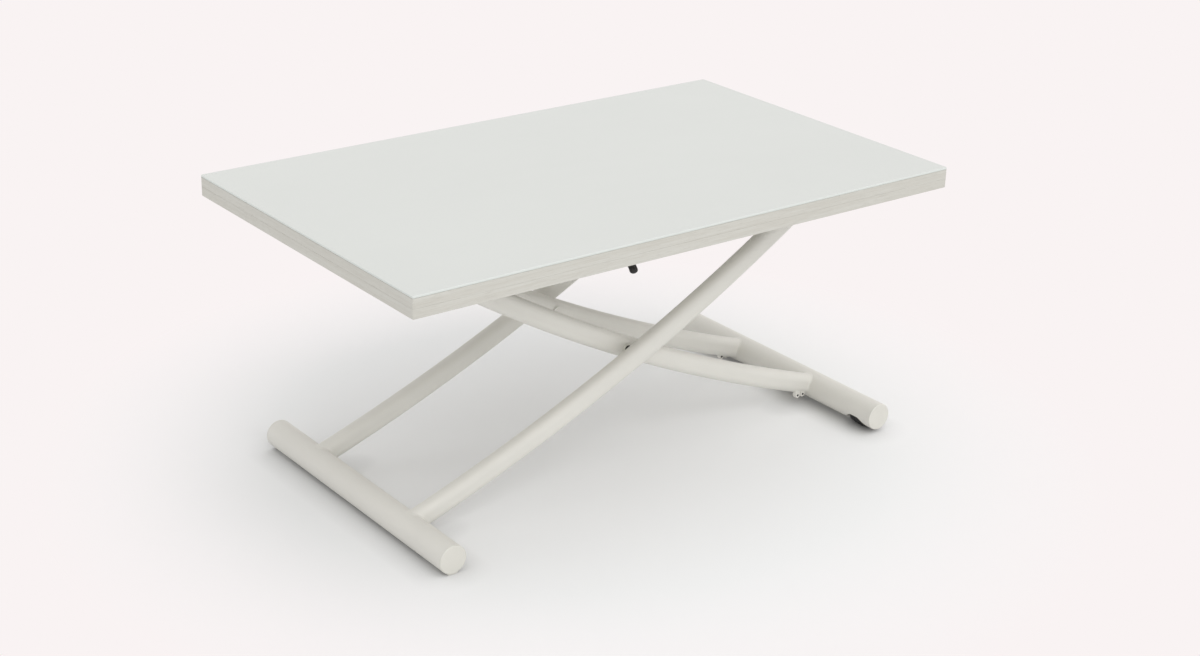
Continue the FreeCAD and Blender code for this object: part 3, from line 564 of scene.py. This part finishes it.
def bridged(shape, rings):
    """A skin from each ring to the next."""
    for first, second in zip(rings, rings[1:]):
        bmesh.ops.bridge_loops(shape, edges=first + second)


def turned(shape, profile, centre, axis, steps):
    """Spins a closed profile, given as places along the axis and distances from it."""
    aside = axis.orthogonal().normalized()
    verts = [shape.verts.new(centre + axis * along + aside * radius) for along, radius in profile]
    edges = [shape.edges.new(pair) for pair in zip(verts, verts[1:] + verts[:1])]
    bmesh.ops.spin(shape, geom=verts + edges, cent=centre, axis=axis, angle=math.tau, steps=steps,
                   use_merge=True)


# Making the welds

def rise(first, last):
    """Slope of the line from one point of the side view to another."""
    return math.atan2(last.z - first.z, last.x - first.x)


def foot_directions(turn):
    """The way that a leg leaves its foot bar, and the way across its depth."""
    slope = rise(LEG_FOOT, CROSSING) + rise(LEG_FOOT, OUTER_UPPER) - rise(CROSSING, OUTER_UPPER)
    along = Vector((turn * math.cos(slope), 0.0, math.sin(slope)))
    return along, Vector((-turn * math.sin(slope), 0.0, math.cos(slope)))


def weld_line(shape, bar, leg_y, turn, outset, lift):
    """A line round a leg at a distance from its wall, where it is a height above the wall of its bar."""
    along, across = foot_directions(turn)
    foot = Vector((0.0, leg_y, LEG_FOOT.z - bar.z))
    radius = BAR_RADIUS + lift
    highest = radius * WELD_REACH - foot.dot(across)

    def placed(deep, wide):
        depth = math.copysign(LEG_DEPTH / 2 - LEG_CORNER, deep) + deep * (LEG_CORNER + outset)
        width = math.copysign(LEG_WIDTH / 2 - LEG_CORNER, wide) + wide * (LEG_CORNER + outset)
        depth = min(depth, highest)
        from_axis = foot.dot(across) + depth
        place = across * from_axis + along * math.sqrt(radius ** 2 - from_axis ** 2)
        return place + Vector((bar.x, leg_y + width, bar.z))

    return ring(shape, WELD_POINTS, placed)


class TABLE_OT_welds(bpy.types.Operator):
    """Add the painted welds between the legs and the foot bars"""
    bl_idname = "table.welds"
    bl_label = "Add the welds"

    def execute(self, context):
        size = context.scene.table_sizes.weld_width
        far, near = size * WELD_FAR, size * WELD_NEAR
        section = ((-SINK, -SINK), (size, -SINK), (far, near), (near, far), (-SINK, size), (-SINK, -SINK))
        joints = (("outer_frame", FIXED_BAR, OUTER_LEG_Y, 1), ("inner_frame", WHEEL_BAR, INNER_LEG_Y, -1))
        for body, bar, leg_y, turn in joints:
            for side, sign in (("front", -1), ("rear", 1)):
                shape = bmesh.new()
                lines = [weld_line(shape, bar, sign * leg_y, turn, *corner) for corner in section]
                bridged(shape, lines)
                add_piece(f"{body}_weld_{side}", shape, body, "leg_paint")
        return {"FINISHED"}


# Making the floor wheels

def wheel_profile(half_width, crown_radius, sizes):
    """Half section of a wheel: bored boss, dished sides and a crowned tread with grooves."""
    def crown(along):
        return crown_radius - (crown_radius - WHEEL_EDGE_RADIUS) * (along / half_width) ** 2

    edge = half_width - WHEEL_EASE
    tread = [(-edge, crown(edge))]
    for groove in GROOVE_PLACES:
        middle = groove * half_width
        wide, narrow = sizes.groove_width / 2, sizes.groove_width / 4
        bottom = crown(middle) - sizes.groove_depth
        tread += [(middle - wide, crown(middle - wide)), (middle - narrow, bottom),
                  (middle + narrow, bottom), (middle + wide, crown(middle + wide))]
    tread += [(edge, crown(edge))]
    rim = WHEEL_EDGE_RADIUS - WHEEL_EASE
    hub = sizes.hub_radius
    floor = half_width - sizes.dish_depth
    side = [(half_width, rim), (half_width, rim - RIM_WIDTH), (floor, rim - RIM_FOOT),
            (floor, hub + HUB_FOOT), (half_width, hub), (half_width, AXLE_RADIUS)]
    return tread + side + [(-along, radius) for along, radius in reversed(side)]


class TABLE_OT_wheels(bpy.types.Operator):
    """Replace the plain floor wheels by grooved ones with a dished side"""
    bl_idname = "table.wheels"
    bl_label = "Add the floor wheels"

    def execute(self, context):
        for side in ("front", "rear"):
            low, high = (Vector(corner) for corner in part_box(f"floor_wheel_{side}"))
            half_width = (high.y - low.y) / 2
            profile = wheel_profile(half_width, (high.z - low.z) / 2, context.scene.table_sizes)
            shape = bmesh.new()
            turned(shape, profile, (low + high) / 2, Vector((0.0, 1.0, 0.0)), WHEEL_STEPS)
            wheel = add_piece(f"grooved_wheel_{side}", shape, f"wheel_{side}", "black_rubber")
            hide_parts(f"floor_wheel_{side}")
        return {"FINISHED"}


# Making the crossing spacers

def sleeve_profile(start, stop, radius):
    """Half section of a sleeve on the crossing pin, with eased rims."""
    return [(start, CROSS_PIN_RADIUS), (start, radius - SPACER_EASE), (start + SPACER_EASE, radius),
            (stop - SPACER_EASE, radius), (stop, radius - SPACER_EASE), (stop, CROSS_PIN_RADIUS)]


class TABLE_OT_spacers(bpy.types.Operator):
    """Replace each spacer of the crossing legs by a slim sleeve and a pale washer next to the inner leg"""
    bl_idname = "table.spacers"
    bl_label = "Add the crossing spacers"

    def execute(self, context):
        sizes = context.scene.table_sizes
        for side, inward in (("front", 1.0), ("rear", -1.0)):
            low, high = (Vector(corner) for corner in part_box(f"cross_spacer_{side}"))
            end = (high.y - low.y) / 2
            parting = end - sizes.washer_thickness
            sleeve = sleeve_profile(-end, parting, sizes.spacer_radius)
            washer = sleeve_profile(parting, end, (high.z - low.z) / 2)
            halves = (("sleeve", sleeve, "black_plastic"), ("washer", washer, "white_plastic"))
            for name, profile, slot in halves:
                shape = bmesh.new()
                turned(shape, profile, (low + high) / 2, Vector((0.0, inward, 0.0)), SPIN_STEPS)
                piece = add_piece(f"crossing_{name}_{side}", shape, "outer_frame", slot)
                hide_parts(f"cross_spacer_{side}")
        return {"FINISHED"}


# Making the pierced lugs

def ear_reach(x, z):
    """Distance from an ear's hole to its wall, which is round below the hole and square above it."""
    if z < 0.0:
        return EAR_RADIUS
    return min(EAR_RADIUS / abs(x), EAR_STEM / z)


def add_ear(shape, centre, half_width):
    """A flat ear with eased rims, whose square end is sunk into the leg."""
    def wall_line(along, inset):
        middle = centre + Vector((0.0, along, 0.0))
        return ring(shape, RING_POINTS,
                    lambda x, z: middle + Vector((x, 0.0, z)) * (ear_reach(x, z) - inset))

    def hole_line(along):
        return ring(shape, RING_POINTS,
                    lambda x, z: centre + Vector((x * EAR_HOLE, along, z * EAR_HOLE)))

    eased = half_width - EAR_EASE
    lines = [hole_line(-half_width), wall_line(-half_width, EAR_EASE), wall_line(-eased, 0.0),
             wall_line(eased, 0.0), wall_line(half_width, EAR_EASE), hole_line(half_width)]
    bridged(shape, lines)
    # Painted shade: the wall of each hole takes the black plastic.
    for face in bmesh.ops.bridge_loops(shape, edges=lines[-1] + lines[0])["faces"]:
        face.material_index = 1


class TABLE_OT_lugs(bpy.types.Operator):
    """Replace the lugs of the inner legs by shorter ears whose holes are lined in black as painted shade"""
    bl_idname = "table.lugs"
    bl_label = "Add the pierced lugs"

    def execute(self, context):
        raised = context.scene.table_sizes.lug_clearance + EAR_RADIUS
        for side in ("front", "rear"):
            low, high = (Vector(corner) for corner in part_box(f"leg_lug_{side}"))
            shape = bmesh.new()
            for ear_x in EAR_PLACES_X:
                add_ear(shape, Vector((ear_x, (low.y + high.y) / 2, raised)), (high.y - low.y) / 2)
            # The second finish, black plastic, is the painted shade in the holes.
            lug = add_piece(f"pierced_lug_{side}", shape, "inner_frame", "leg_paint", "black_plastic")
            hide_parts(f"leg_lug_{side}")
        return {"FINISHED"}


# Making the release grip

class TABLE_OT_grip(bpy.types.Operator):
    """Replace the plain grip of the release lever by a rounded one that bends down to its tip"""
    bl_idname = "table.grip"
    bl_label = "Add the release grip"

    def execute(self, context):
        sizes = context.scene.table_sizes
        low, high = (Vector(corner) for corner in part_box("lever_grip"))
        half_width = (high.x - low.x) / 2
        shape = bmesh.new()

        def oval(centre, slope, share):
            upward = Vector((0.0, -math.sin(slope), math.cos(slope))) * GRIP_HALF_DEPTH
            wide = Vector((half_width * (1.0 + GRIP_FLARE * slope / sizes.grip_slope), 0.0, 0.0))
            return ring(shape, RING_POINTS, lambda x, y: centre + (wide * x + upward * y) * share)

        root = Vector(((low.x + high.x) / 2, high.y, high.z - GRIP_HALF_DEPTH))
        bend = root - Vector((0.0, GRIP_STRAIGHT, 0.0))
        rings = [oval(root, 0.0, GRIP_ROOT_SHARE), oval(root - Vector((0.0, GRIP_EASE, 0.0)), 0.0, 1.0)]
        for step in range(GRIP_STEPS + 1):
            slope = sizes.grip_slope * step / GRIP_STEPS
            end = bend - Vector((0.0, math.sin(slope), 1.0 - math.cos(slope))) * sizes.grip_bend
            rings.append(oval(end, slope, 1.0))
        ahead = Vector((0.0, -math.cos(sizes.grip_slope), -math.sin(sizes.grip_slope)))
        for step in range(1, GRIP_STEPS):
            turn = math.radians(90) * step / GRIP_STEPS
            rings.append(oval(end + ahead * GRIP_TIP * math.sin(turn), sizes.grip_slope, math.cos(turn)))
        bridged(shape, rings)
        bmesh.ops.edgeloop_fill(shape, edges=rings[0])
        bmesh.ops.edgeloop_fill(shape, edges=rings[-1])
        grip = add_piece("release_grip", shape, "release_lever", "black_plastic")
        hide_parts("lever_grip")
        return {"FINISHED"}


# Making the seam strip

class TABLE_OT_seam_strip(bpy.types.Operator):
    """Add the thin strip that keeps the two boards apart, along all sides but the hinged one"""
    bl_idname = "table.seam_strip"
    bl_label = "Add the seam strip"

    def execute(self, context):
        inset = context.scene.table_sizes.strip_inset
        low, high = (Vector(corner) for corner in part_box("lower_board"))
        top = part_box("upper_board")[0][2] - STRIP_CLEARANCE
        bottom = high.z - SINK
        reach = BOARD_CORNER - inset - STRIP_WIDTH / 2
        left, right = low.x + BOARD_CORNER, high.x - BOARD_CORNER
        front, rear = low.y + BOARD_CORNER, high.y - STRIP_END
        shape = bmesh.new()

        def section(x, y, degrees):
            turn = math.radians(degrees)
            outward = Vector((math.cos(turn), math.sin(turn), 0.0))
            middle = Vector((x, y, 0.0)) + outward * reach

            def corner(wide, tall):
                height = top if tall > 0 else bottom
                return middle + outward * math.copysign(STRIP_WIDTH / 2, wide) + Vector((0.0, 0.0, height))

            return ring(shape, 4, corner)

        rings = [section(left, rear, 180)]
        for corner_x, start in ((left, 180), (right, 270)):
            for step in range(STRIP_STEPS + 1):
                rings.append(section(corner_x, front, start + 90 * step / STRIP_STEPS))
        rings.append(section(right, rear, 360))
        bridged(shape, rings)
        bmesh.ops.edgeloop_fill(shape, edges=rings[0])
        bmesh.ops.edgeloop_fill(shape, edges=rings[-1])
        add_piece("seam_strip", shape, "lower_leaf", "oak_board")
        return {"FINISHED"}


# Making the hinge screws

def cross_reach(x, y):
    """Distance from the middle of a cross-shaped recess to its wall, in a direction."""
    x, y = abs(x), abs(y)
    level = min(CROSS_ARM / x, CROSS_HALF_WIDTH / y)
    upright = min(CROSS_ARM / y, CROSS_HALF_WIDTH / x)
    return max(level, upright)


def add_screw(shape, place, up, radius, rise_height):
    """A low domed head with a cross recess, whose walls and floor are painted black as painted shade."""
    def round_line(share, height):
        middle = place + Vector((0.0, 0.0, up * height))
        return ring(shape, SCREW_POINTS, lambda x, y: middle + Vector((x, y, 0.0)) * radius * share)

    def cross_line(height):
        middle = place + Vector((0.0, 0.0, up * height))
        return ring(shape, SCREW_POINTS, lambda x, y: middle + Vector((x, y, 0.0)) * cross_reach(x, y))

    lines = [round_line(1.0, -SINK), round_line(1.0, rise_height * WALL_RISE),
             round_line(SHOULDER_RADIUS, rise_height * SHOULDER_RISE),
             round_line(CROWN_RADIUS, rise_height), cross_line(rise_height)]
    bridged(shape, lines)
    recess = cross_line(rise_height * RECESS_RISE)
    # Painted shade: the recess's walls and floor take the second, black finish.
    dark = bmesh.ops.bridge_loops(shape, edges=lines[-1] + recess)["faces"]
    dark += bmesh.ops.edgeloop_fill(shape, edges=recess)["faces"]
    for face in dark:
        face.material_index = 1
    bmesh.ops.edgeloop_fill(shape, edges=lines[0])


class TABLE_OT_hinge_screws(bpy.types.Operator):
    """Add the screws that hold the hinge plates to the leaves"""
    bl_idname = "table.hinge_screws"
    bl_label = "Add the hinge screws"

    def execute(self, context):
        sizes = context.scene.table_sizes
        for leaf, up in (("lower", 1), ("upper", -1)):
            low = Vector(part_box(f"hinge_plates_{leaf}")[0])
            board_low, board_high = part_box(f"{leaf}_board")
            face = board_high[2] if up > 0 else board_low[2]
            shape = bmesh.new()
            for hinge_x in HINGE_PLACES_X:
                for along in SCREW_ALONG:
                    place = Vector((hinge_x + along, low.y + SCREW_INSET, face))
                    add_screw(shape, place, up, sizes.screw_radius, sizes.screw_rise)
            # The second finish, the gas spring's black, is the painted shade in the screws' recesses.
            add_piece(f"hinge_screws_{leaf}", shape, f"{leaf}_leaf", "zinc", "gas_black")
        return {"FINISHED"}


# Making the gas spring collar

class TABLE_OT_gas_gland(bpy.types.Operator):
    """Add the collar where the rod leaves the gas cylinder"""
    bl_idname = "table.gas_gland"
    bl_label = "Add the gas spring collar"

    def execute(self, context):
        length = context.scene.table_sizes.gland_length
        low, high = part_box("gas_cylinder")
        middle = Vector((high[0], 0.0, (low[2] + high[2]) / 2))
        hole = ROD_RADIUS + SINK
        outline = [(length * along, GAS_RADIUS * out) for along, out in GLAND_OUTLINE]
        profile = [(-SINK, hole), (-SINK, outline[0][1]), *outline, (length, hole)]
        shape = bmesh.new()
        turned(shape, profile, middle, Vector((1.0, 0.0, 0.0)), SPIN_STEPS)
        add_piece("gas_gland", shape, "gas_cylinder", "black_plastic")
        return {"FINISHED"}


# Making the studio

def studio_floor(name, studio):
    """Pale floor with the table's shadow that fades into the backdrop, and with painted shade that darkens
    it where it is closed in.
    """
    paint = Paint(name)
    distance = paint.node("ShaderNodeVectorMath", {"operation": "LENGTH"}, {0: paint.place()}, "Value")
    fade = ((FADE_START * FLOOR_SCALE, 0.0), (FADE_END * FLOOR_SCALE, 1.0))
    further_off = paint.ramp(distance * FLOOR_SCALE, *fade)
    # Painted shade: an occlusion node mixes a darker copy of the floor's colour in near the contacts.
    openness = paint.node("ShaderNodeAmbientOcclusion", {"samples": CONTACT_RAYS},
                          {"Distance": studio.contact_reach}, "AO")
    tones = (paint.colour(shade(studio.near_floor, share)) for share in (CONTACT_SHADE, 1.0))
    painted_contact_shade, lit = (paint.node("ShaderNodeBsdfDiffuse", {}, {"Color": tone}) for tone in tones)
    near = paint.node("ShaderNodeMixShader", {}, {0: openness, 1: painted_contact_shade, 2: lit})
    far = paint.node("ShaderNodeEmission", {}, {"Color": paint.colour(studio.backdrop)})
    both = paint.node("ShaderNodeMixShader", {}, {0: further_off * paint.seen(), 1: near, 2: far})
    paint.node("ShaderNodeOutputMaterial", {}, {"Surface": both})
    return paint.material


def look_through(camera, studio):
    """Stands the camera where the photograph was taken from."""
    turn, drop, roll = studio.camera_turn, studio.camera_drop, studio.camera_roll
    ahead = Vector((math.sin(turn) * math.cos(drop), math.cos(turn) * math.cos(drop), -math.sin(drop)))
    level = Vector((math.cos(turn), -math.sin(turn), 0.0))
    upward = level.cross(ahead)
    right = level * math.cos(roll) + upward * math.sin(roll)
    up = upward * math.cos(roll) - level * math.sin(roll)
    axes = Matrix((right, up, -ahead)).transposed()
    camera.matrix_world = Matrix.Translation(studio.camera_place) @ axes.to_4x4()


class TABLE_OT_studio(bpy.types.Operator):
    """Add the floor, the light and the camera"""
    bl_idname = "table.studio"
    bl_label = "Add the studio"

    def execute(self, context):
        scene = context.scene
        studio = scene.table_studio
        scene.view_settings.view_transform = "Standard"
        lens = bpy.data.cameras.new("photo_camera")
        lens.sensor_width = FRAME_WIDTH
        lens.lens = studio.camera_lens
        lens.clip_end = VIEW_END
        camera = bpy.data.objects.new("photo_camera", lens)
        scene.collection.objects.link(camera)
        scene.camera = camera
        look_through(camera, studio)
        self.add_floor(scene, studio)
        width = studio.light_width
        self.add_soft_light(scene, "front_light", studio.front_from, studio.front_strength, width)
        self.add_soft_light(scene, "side_light", studio.side_from, studio.side_strength, width)
        self.light_sky(scene, studio)
        return {"FINISHED"}

    def add_floor(self, scene, studio):
        mesh = bpy.data.meshes.new("studio_floor")
        shape = bmesh.new()
        bmesh.ops.create_grid(shape, x_segments=1, y_segments=1, size=FLOOR_HALF)
        shape.to_mesh(mesh)
        shape.free()
        floor = bpy.data.objects.new("studio_floor", mesh)
        mesh.materials.append(studio_floor("studio_floor", studio))
        scene.collection.objects.link(floor)

    def add_soft_light(self, scene, name, direction, strength, width):
        lamp = bpy.data.lights.new(name, "SUN")
        lamp.energy = strength
        lamp.angle = width
        light = bpy.data.objects.new(name, lamp)
        light.matrix_world = Vector(direction).to_track_quat("Z", "Y").to_matrix().to_4x4()
        scene.collection.objects.link(light)

    def light_sky(self, scene, studio):
        """Even white light, with the backdrop's colour where the camera or a gloss sees the sky."""
        scene.world = bpy.data.worlds.new("studio_sky")
        sky = Graph(scene.world)
        white = (1.0, 1.0, 1.0, 1.0)
        light = sky.node("ShaderNodeBackground", {}, {"Color": white, "Strength": studio.sky_strength})
        behind = sky.node("ShaderNodeBackground", {}, {"Color": (*studio.backdrop, 1.0)})
        chosen = sky.node("ShaderNodeMixShader", {}, {0: sky.seen(), 1: light, 2: behind})
        sky.node("ShaderNodeOutputWorld", {}, {"Surface": chosen})


class TABLE_PT_sidebar(bpy.types.Panel):
    """Settings and steps of the table"""
    bl_label = "Lift table"
    bl_idname = "TABLE_PT_sidebar"
    bl_space_type = "VIEW_3D"
    bl_region_type = "UI"
    bl_category = "Lift table"

    def draw(self, context):
        scene = context.scene
        for group in (scene.table_finishes, scene.table_sizes, scene.table_studio):
            for name in group.__annotations__:
                self.layout.prop(group, name)
        for step in STEPS:
            self.layout.operator(step.bl_idname)


STEPS = (TABLE_OT_finishes, TABLE_OT_welds, TABLE_OT_wheels, TABLE_OT_spacers, TABLE_OT_lugs, TABLE_OT_grip,
         TABLE_OT_seam_strip, TABLE_OT_hinge_screws, TABLE_OT_gas_gland, TABLE_OT_studio)
CLASSES = (TableFinishes, TableSizes, TableStudio, *STEPS, TABLE_PT_sidebar)


def register():
    for made in CLASSES:
        bpy.utils.register_class(made)
    bpy.types.Scene.table_finishes = PointerProperty(type=TableFinishes)
    bpy.types.Scene.table_sizes = PointerProperty(type=TableSizes)
    bpy.types.Scene.table_studio = PointerProperty(type=TableStudio)


def unregister():
    del bpy.types.Scene.table_studio
    del bpy.types.Scene.table_sizes
    del bpy.types.Scene.table_finishes
    for made in reversed(CLASSES):
        bpy.utils.unregister_class(made)


def main():
    register()
    bpy.ops.table.finishes()
    bpy.ops.table.welds()
    bpy.ops.table.wheels()
    bpy.ops.table.spacers()
    bpy.ops.table.lugs()
    bpy.ops.table.grip()
    bpy.ops.table.seam_strip()
    bpy.ops.table.hinge_screws()
    bpy.ops.table.gas_gland()
    bpy.ops.table.studio()


if __name__ == "__main__":
    main()
